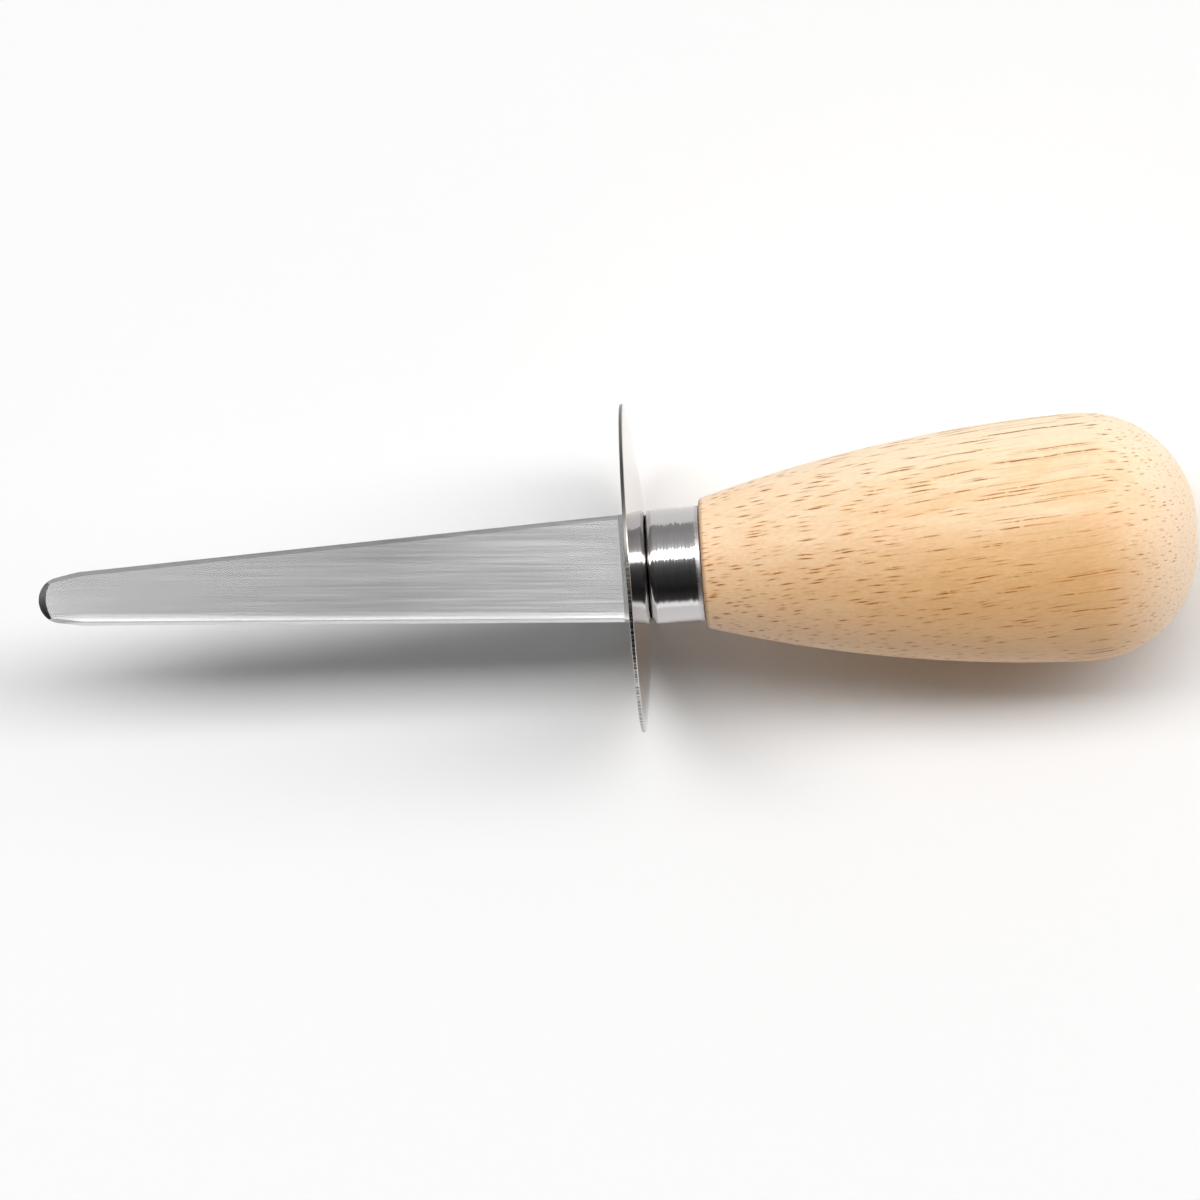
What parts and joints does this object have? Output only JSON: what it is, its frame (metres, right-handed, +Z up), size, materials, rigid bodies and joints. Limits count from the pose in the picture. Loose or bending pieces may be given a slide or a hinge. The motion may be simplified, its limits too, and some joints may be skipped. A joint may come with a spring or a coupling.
{
  "type": "oyster knife",
  "caption": "Oyster knife with a blunt tapered steel blade, a round dished guard, a short polished ferrule and a pear-shaped wooden handle.",
  "frame": {"origin": "centre of the bounding box in X and Y, at the table that the knife lies on", "axes": "+Z up from the table, +X from the tip of the blade towards the butt of the handle, +Y across the blade"},
  "size_m": [0.1596, 0.0454, 0.0452],
  "materials": {
    "blade_steel": "satin, ground lengthwise",
    "guard_steel": "polished",
    "ferrule_steel": "polished",
    "handle_wood": "satin lacquer",
    "adhesive": "cured epoxy"
  },
  "bodies": {
    "root": {"blade": "blade_steel", "guard": "guard_steel", "ferrule": "ferrule_steel", "handle": "handle_wood", "tang_adhesive": "adhesive"}
  },
  "joints": []
}
